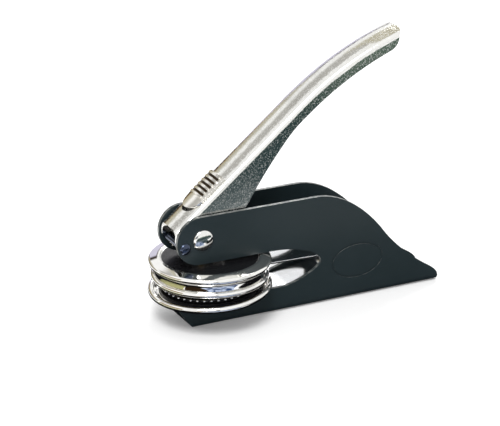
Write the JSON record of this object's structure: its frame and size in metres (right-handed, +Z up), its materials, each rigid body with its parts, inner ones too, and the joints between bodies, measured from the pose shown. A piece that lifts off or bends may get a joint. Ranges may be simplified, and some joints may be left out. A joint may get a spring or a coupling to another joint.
{
  "type": "seal embosser",
  "caption": "Hand-held seal embosser: folded black frame, bright lever with a sliding latch, and round upper and lower dies carried on a sprung clip.",
  "frame": {"origin": "on the resting face, straight below the middle of the lower die", "axes": "+X from the dies to the tail of the frame, +Y across the cheeks, +Z up"},
  "size_m": [0.1284, 0.0506, 0.113],
  "materials": {
    "frame_paint": "satin black paint",
    "pin_black": "gloss black",
    "lever_chrome": "bright plated",
    "latch_chrome": "bright plated",
    "rivet_chrome": "bright plated",
    "die_chrome": "bright plated",
    "clip_chrome": "bright plated spring steel",
    "steel": "plain",
    "spring_steel": "drawn wire",
    "die_brass": "turned",
    "counter_black": "moulded"
  },
  "bodies": {
    "frame": {"frame": "frame_paint", "pivot_rivet": "rivet_chrome", "pivot_shims": "steel", "stop_pin": "pin_black", "die_clip": "clip_chrome", "lower_dish": "die_chrome", "counter_ring": "counter_black", "counter_plate": "counter_black", "lower_stem": "steel", "lower_rivet": "steel"},
    "lever": {"lever": "lever_chrome", "cam": "steel", "cam_spacer": "steel", "cam_rivet": "steel", "lever_spring": "spring_steel"},
    "latch": {"latch_slider": "latch_chrome", "latch_keeper": "steel", "latch_rivets": "steel"},
    "upper_die": {"push_boss": "die_chrome", "upper_cap": "die_chrome", "upper_die_holder": "die_chrome", "upper_die": "die_brass", "upper_rivets": "steel", "die_keys": "steel"}
  },
  "joints": [
    {"name": "lever_hinge", "type": "hinge", "parent": "frame", "child": "lever", "pos_m": [-0.008, 0, 0.0379], "axis": [0, 1, 0], "range_deg": [0, 43], "stiffness_Nm_per_rad": 0.04, "springref_deg": -51.57, "deforming": ["lever_spring"]},
    {"name": "upper_die_hinge", "type": "hinge", "parent": "frame", "child": "upper_die", "pos_m": [0.0472, 0, 0.0168], "axis": [0, 1, 0], "range_deg": [-3, 0], "stiffness_Nm_per_rad": 2.5, "springref_deg": 3.44, "deforming": ["die_clip"]},
    {"name": "latch_slide", "type": "slide", "parent": "lever", "child": "latch", "axis": [0.7705, 0, 0.6374], "range_m": [-0.003, 0]}
  ],
  "couplings": [
    {"joint": "upper_die_hinge", "follows": "lever_hinge", "ratio": -0.069767}
  ]
}
